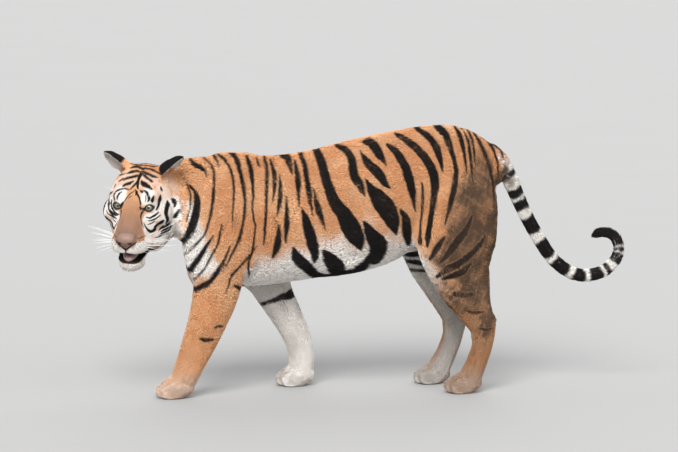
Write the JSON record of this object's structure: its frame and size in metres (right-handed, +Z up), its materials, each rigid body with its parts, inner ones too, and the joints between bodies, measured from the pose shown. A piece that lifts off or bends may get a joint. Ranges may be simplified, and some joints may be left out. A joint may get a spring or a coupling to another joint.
{
  "type": "standing Bengal tiger, still life-size model",
  "caption": "Life-size still model of a walking Bengal tiger with its head turned to its left, standing on its own paws.",
  "frame": {"origin": "on the floor, below the middle of the bounding box", "axes": "+X towards the tail, so the tiger heads along -X; +Y towards the tiger's right; +Z up"},
  "size_m": [1.9418, 0.4676, 0.9837],
  "materials": {
    "coat_orange": "short dense orange coat with black stripes",
    "coat_pale": "short dense cream-white coat",
    "coat_ringed": "cream coat with black rings",
    "nose_leather": "bare pebbled nose skin, pink",
    "mouth_flesh": "moist tongue and gums",
    "eye": "clear glossy eye with an amber iris"
  },
  "bodies": {
    "root": {"barrel": "coat_orange", "chest": "coat_orange", "head": "coat_orange", "hips": "coat_orange", "left_ear": "coat_orange", "left_eye": "eye", "left_forearm": "coat_orange", "left_forepaw": "coat_orange", "left_hind_foot": "coat_orange", "left_shank": "coat_orange", "left_shoulder": "coat_orange", "left_thigh": "coat_orange", "lower_jaw": "coat_pale", "neck": "coat_orange", "nose": "nose_leather", "right_ear": "coat_orange", "right_eye": "eye", "right_forearm": "coat_orange", "right_forepaw": "coat_orange", "right_hind_foot": "coat_orange", "right_shank": "coat_orange", "right_shoulder": "coat_orange", "right_thigh": "coat_orange", "tail_1": "coat_ringed", "tail_2": "coat_ringed", "tail_3": "coat_ringed", "tail_4": "coat_ringed", "tongue": "mouth_flesh"}
  },
  "joints": []
}
